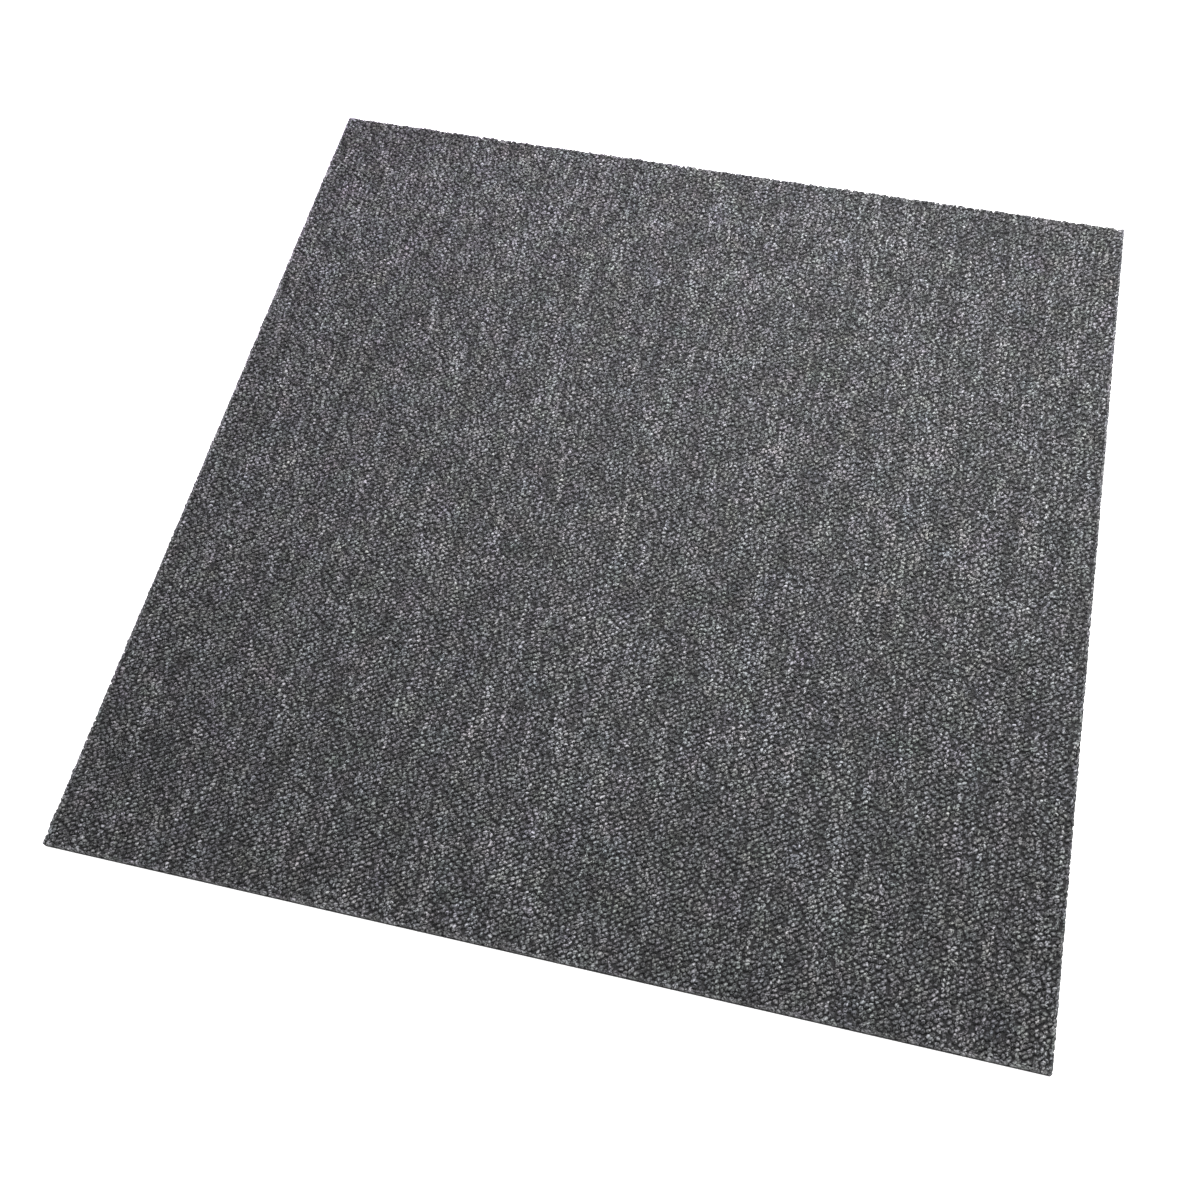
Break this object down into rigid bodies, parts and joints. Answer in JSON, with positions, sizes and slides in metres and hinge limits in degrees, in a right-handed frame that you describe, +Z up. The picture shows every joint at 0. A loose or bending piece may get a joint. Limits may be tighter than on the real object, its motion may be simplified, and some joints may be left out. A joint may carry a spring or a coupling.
{
  "type": "carpet tile",
  "caption": "Square modular carpet tile: a low loop-pile tufted face on a heavy flexible backing, laid loose or stuck flat on a floor, edge to edge with its neighbours.",
  "frame": {"origin": "centre of the underside, on the floor", "axes": "+Z up, from the backing to the pile; +Y along the tufting rows, from the front edge of the picture to its back edge; +X across the rows, to the right"},
  "size_m": [0.5, 0.5, 0.006],
  "materials": {
    "pile": "heather charcoal loop pile, matt",
    "backing": "black filled bitumen slab, matt"
  },
  "bodies": {
    "root": {"backing": "backing", "pile_face": "pile"}
  },
  "joints": []
}
